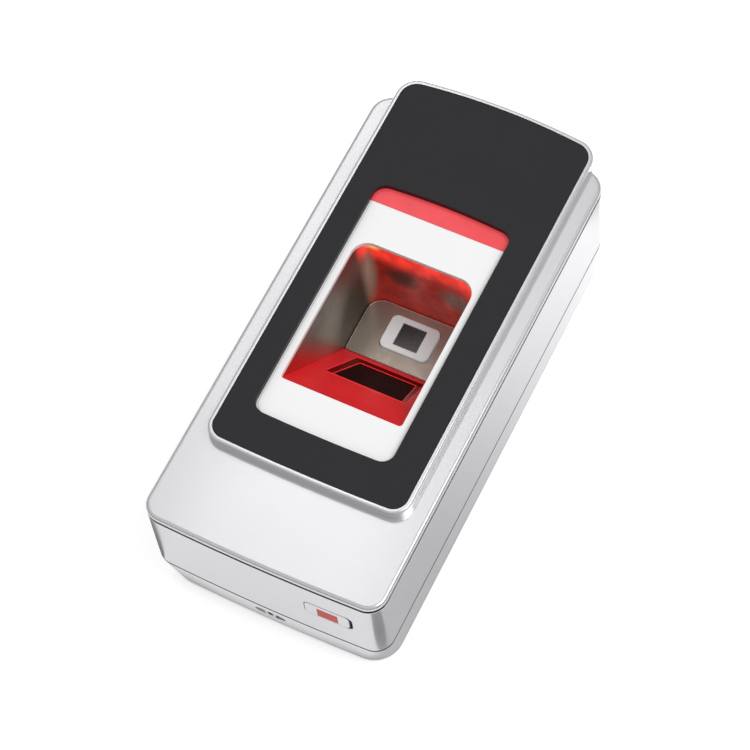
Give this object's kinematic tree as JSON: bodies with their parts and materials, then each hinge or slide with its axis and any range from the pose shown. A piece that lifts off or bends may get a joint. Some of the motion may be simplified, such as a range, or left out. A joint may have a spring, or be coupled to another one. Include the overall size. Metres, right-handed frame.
{
  "type": "fingerprint scanner terminal",
  "caption": "Wall-mounted fingerprint scanner terminal: silver case, raised black panel, deep lit finger well with square sensor, status lens, wall plate.",
  "frame": {"origin": "centre of the bounding box at the back face, on which the terminal lies", "axes": "+X to the terminal's right, +Y from its foot end to its head end, +Z out of its face"},
  "size_m": [0.056, 0.1208, 0.0375],
  "materials": {
    "silver_paint": "satin silver lacquer",
    "black_panel": "semi-gloss black",
    "gasket_rubber": "matt black",
    "seal_rubber": "matt grey",
    "white_plastic": "satin white",
    "red_lens": "translucent red",
    "smoke_metallic": "smoked metallic satin",
    "red_light_guide": "translucent red, lit",
    "dark_red_window": "dark infrared-pass red",
    "sensor_silver": "satin",
    "sensor_dark": "coated dark glass",
    "black_plastic": "matt",
    "board_green": "solder mask",
    "zinc_steel": "zinc plated",
    "steel_screw": "plain steel",
    "chip_black": "moulded epoxy",
    "can_metal": "drawn can",
    "relay_blue": "moulded case",
    "connector_white": "nylon",
    "copper": "bare copper",
    "led_clear": "clear epoxy",
    "flat_lead": "ribbon film",
    "button_grey": "moulded",
    "red_filter": "translucent red filter"
  },
  "bodies": {
    "terminal": {"antenna_board": "board_green", "antenna_coil": "copper", "board_screws": "steel_screw", "buzzer": "black_plastic", "cable_grommet": "gasket_rubber", "cable_sockets": "connector_white", "capacitors": "can_metal", "case_screws": "steel_screw", "clock_battery": "can_metal", "detect_window": "dark_red_window", "door_relay": "relay_blue", "face_gasket": "gasket_rubber", "face_panel": "black_panel", "finger_cup": "smoke_metallic", "front_cover": "silver_paint", "infrared_filter": "red_filter", "ir_receiver": "chip_black", "main_board": "board_green", "main_housing": "silver_paint", "memory_chip": "chip_black", "panel_frame": "silver_paint", "presence_sensor_pair": "chip_black", "processor_chip": "chip_black", "quartz_crystal": "can_metal", "ramp_light_guide": "red_light_guide", "rear_seal": "seal_rubber", "rear_shell": "silver_paint", "reset_switch": "black_plastic", "sensor_bezel": "sensor_silver", "sensor_board": "board_green", "sensor_die": "sensor_dark", "sensor_flat_cable": "flat_lead", "sensor_holder": "black_plastic", "sensor_plate": "smoke_metallic", "status_led_board": "board_green", "status_leds": "led_clear", "status_lens": "red_lens", "tamper_switch": "black_plastic", "voltage_regulator": "chip_black", "wall_plate": "zinc_steel", "well_insert": "white_plastic", "well_led_board": "board_green", "well_leds": "led_clear", "window_carrier": "silver_paint", "wiring_headers": "connector_white"},
    "security_screw": {"security_screw": "steel_screw"},
    "tamper_plunger": {"tamper_plunger": "button_grey"},
    "reset_button": {"reset_button": "button_grey"}
  },
  "joints": [
    {"name": "security_screw_out", "type": "slide", "parent": "terminal", "child": "security_screw", "axis": [0, -1, 0], "range_m": [0, 0.01]},
    {"name": "tamper_press", "type": "slide", "parent": "terminal", "child": "tamper_plunger", "axis": [0, 0, 1], "range_m": [0, 0.001], "stiffness_N_per_m": 400, "springref_m": -0.001},
    {"name": "reset_press", "type": "slide", "parent": "terminal", "child": "reset_button", "axis": [0, 0, 1], "range_m": [0, 0.0003], "stiffness_N_per_m": 1500, "springref_m": -0.0002}
  ]
}
